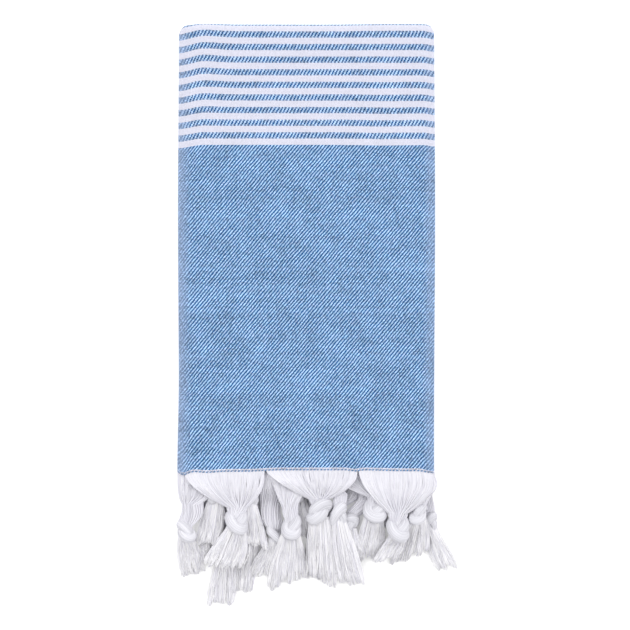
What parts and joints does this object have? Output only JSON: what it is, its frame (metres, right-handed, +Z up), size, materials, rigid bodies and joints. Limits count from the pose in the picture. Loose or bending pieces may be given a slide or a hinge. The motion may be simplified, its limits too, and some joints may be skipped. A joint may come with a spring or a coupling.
{
  "type": "folded bath towel",
  "caption": "Flat-woven bath towel with knotted fringe, folded in quarters both ways into a slim stack and lying flat.",
  "frame": {"origin": "middle of the folded cloth, without its fringe, on the surface it lies on", "axes": "+X across the towel, +Y along it away from the fringe, +Z up from the surface"},
  "size_m": [0.2698, 0.5656, 0.03],
  "materials": {
    "towel_cloth": "blue and white cotton twill with white stripes near one fold",
    "fringe_yarn": "loose white cotton yarn"
  },
  "bodies": {
    "root": {"towel": "towel_cloth", "tassel_a1_left": "fringe_yarn", "tassel_a2_left": "fringe_yarn", "tassel_a3_left": "fringe_yarn", "tassel_a4_left": "fringe_yarn", "tassel_b1_left": "fringe_yarn", "tassel_b2_left": "fringe_yarn", "tassel_b3_left": "fringe_yarn", "tassel_b4_left": "fringe_yarn", "tassel_a1_middle": "fringe_yarn", "tassel_a2_middle": "fringe_yarn", "tassel_a3_middle": "fringe_yarn", "tassel_a4_middle": "fringe_yarn", "tassel_b1_middle": "fringe_yarn", "tassel_b2_middle": "fringe_yarn", "tassel_b3_middle": "fringe_yarn", "tassel_b4_middle": "fringe_yarn", "tassel_a1_right": "fringe_yarn", "tassel_a2_right": "fringe_yarn", "tassel_a3_right": "fringe_yarn", "tassel_a4_right": "fringe_yarn", "tassel_b1_right": "fringe_yarn", "tassel_b2_right": "fringe_yarn", "tassel_b3_right": "fringe_yarn", "tassel_b4_right": "fringe_yarn"}
  },
  "joints": []
}
